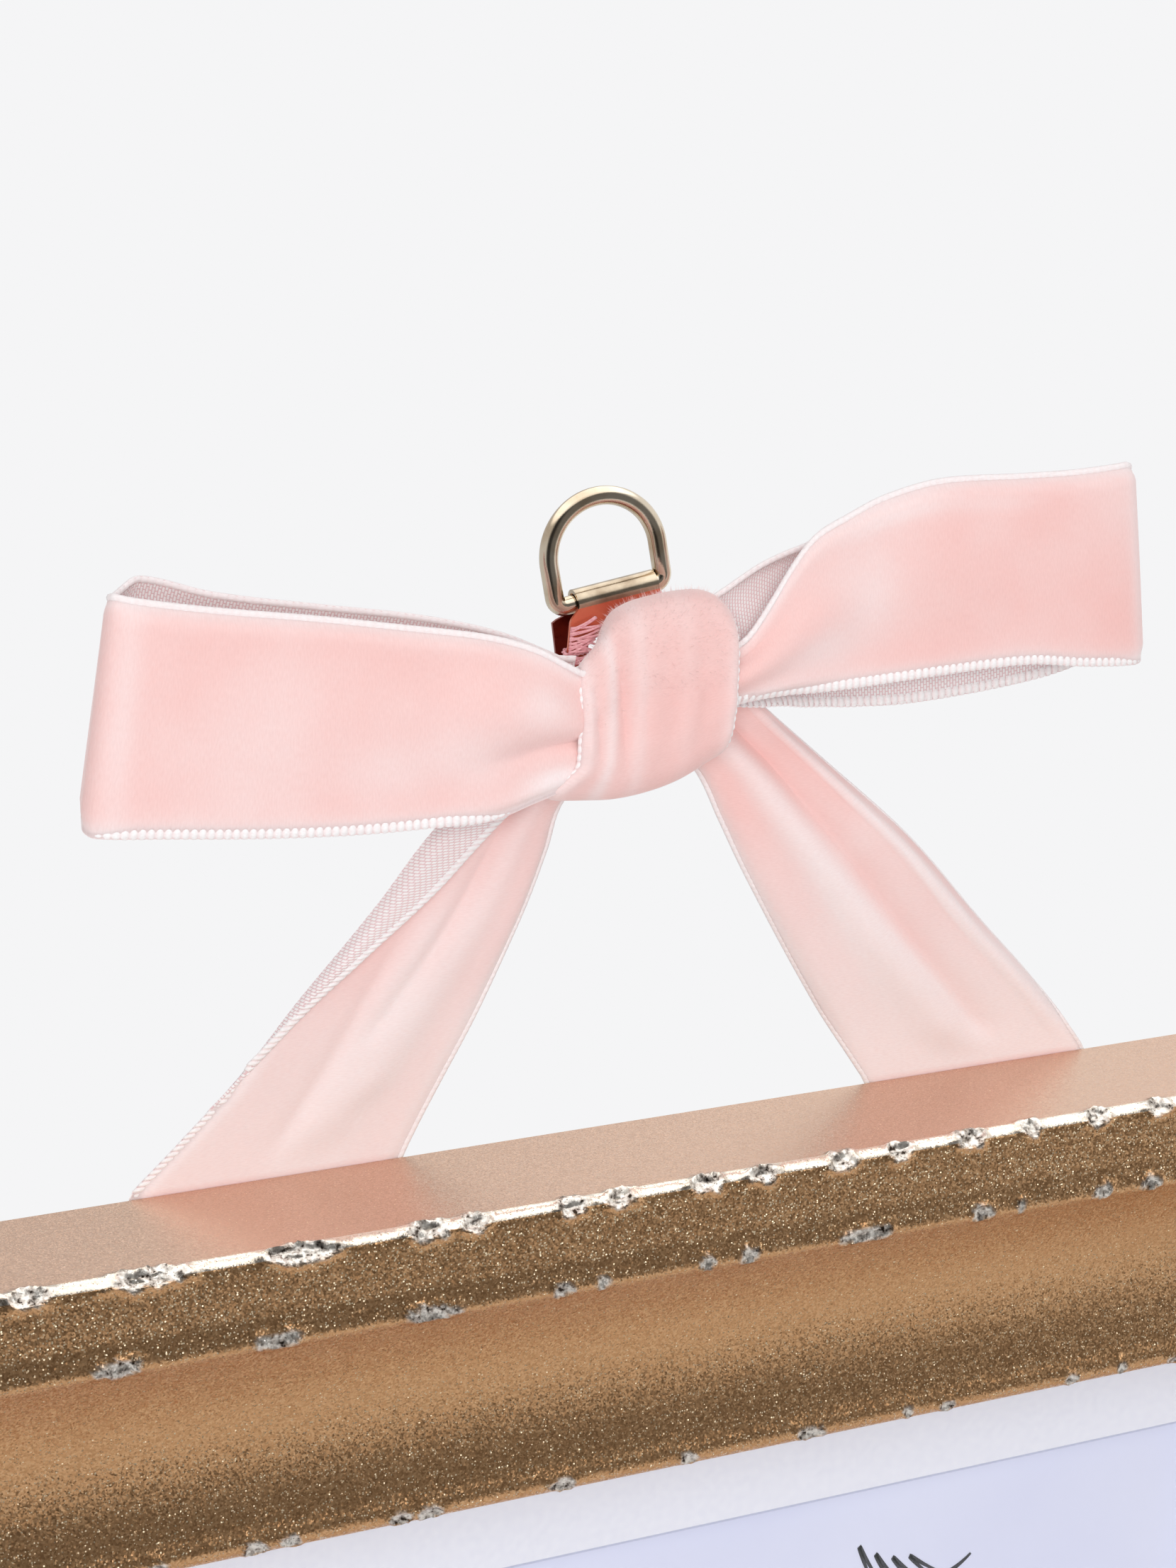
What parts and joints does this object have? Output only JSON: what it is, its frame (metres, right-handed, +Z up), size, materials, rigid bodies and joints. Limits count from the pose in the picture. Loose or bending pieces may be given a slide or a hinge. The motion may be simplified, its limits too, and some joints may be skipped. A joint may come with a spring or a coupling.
{
  "type": "hanging photo frame",
  "caption": "Upright photo frame with a scooped champagne moulding, hung by a velvet ribbon bow from a metal D-ring.",
  "frame": {"origin": "the hanging point, at the inside top of the D-ring", "axes": "+X to the right as seen from the front, +Y into the wall, +Z up"},
  "size_m": [0.2454, 0.0234, 0.3683],
  "materials": {
    "moulding": "champagne metallic paint with fine glitter, rubbed and chipped silver along its edges",
    "ribbon": "pale pink velvet with a satin woven back and white beaded edges",
    "ring_metal": "polished warm nickel",
    "thread": "twisted sewing thread",
    "brass_plate": "stamped sheet, slightly dull",
    "steel": "bright zinc",
    "glazing": "clear float glass",
    "mat": "pale lilac-white mat board",
    "print": null,
    "card": "plain grey-brown card",
    "backing": "hardboard",
    "bumper": "soft dark rubber"
  },
  "bodies": {
    "ring": {"d_ring": "ring_metal"},
    "hanger": {"ring_strap": "ring_metal", "thread_binding": "thread", "bow_knot": "ribbon", "bow_waist": "ribbon", "bow_loop_left": "ribbon", "bow_loop_right": "ribbon", "ribbon_tail_left": "ribbon", "ribbon_tail_right": "ribbon"},
    "frame": {"rail_top": "moulding", "rail_bottom": "moulding", "rail_left": "moulding", "rail_right": "moulding", "button_screw_top": "steel", "button_screw_bottom": "steel", "button_screw_left": "steel", "button_screw_right": "steel", "corner_nail_top_left": "steel", "corner_nail_top_right": "steel", "corner_nail_bottom_left": "steel", "corner_nail_bottom_right": "steel", "glass": "glazing", "mat_board": "mat", "photo_print": "print", "filler_card": "card", "backing_board": "backing", "wall_bumper_left": "bumper", "wall_bumper_right": "bumper", "ribbon_end_left": "ribbon", "ribbon_end_right": "ribbon", "staple_left_1": "steel", "staple_left_2": "steel", "staple_right_1": "steel", "staple_right_2": "steel"},
    "button_top": {"turn_button_top": "brass_plate"},
    "button_bottom": {"turn_button_bottom": "brass_plate"},
    "button_left": {"turn_button_left": "brass_plate"},
    "button_right": {"turn_button_right": "brass_plate"}
  },
  "joints": [
    {"name": "ring_swing", "type": "hinge", "parent": "ring", "child": "hanger", "pos_m": [0.00113, 0, -0.00948], "axis": [0.9877, 0, 0.1564], "range_deg": [-60, 100]},
    {"name": "ribbon_fold", "type": "hinge", "parent": "hanger", "child": "frame", "pos_m": [0, 0.0051, -0.0693], "axis": [1, 0, 0], "range_deg": [-75, 80]},
    {"name": "button_top_turn", "type": "hinge", "parent": "frame", "child": "button_top", "pos_m": [0, 0.0052, -0.09], "axis": [0, 1, 0], "range_deg": [0, 90]},
    {"name": "button_bottom_turn", "type": "hinge", "parent": "frame", "child": "button_bottom", "pos_m": [0, 0.0052, -0.3464], "axis": [0, 1, 0], "range_deg": [0, 90]},
    {"name": "button_left_turn", "type": "hinge", "parent": "frame", "child": "button_left", "pos_m": [-0.1027, 0.0052, -0.2182], "axis": [0, 1, 0], "range_deg": [0, 90]},
    {"name": "button_right_turn", "type": "hinge", "parent": "frame", "child": "button_right", "pos_m": [0.1027, 0.0052, -0.2182], "axis": [0, 1, 0], "range_deg": [0, 90]}
  ]
}
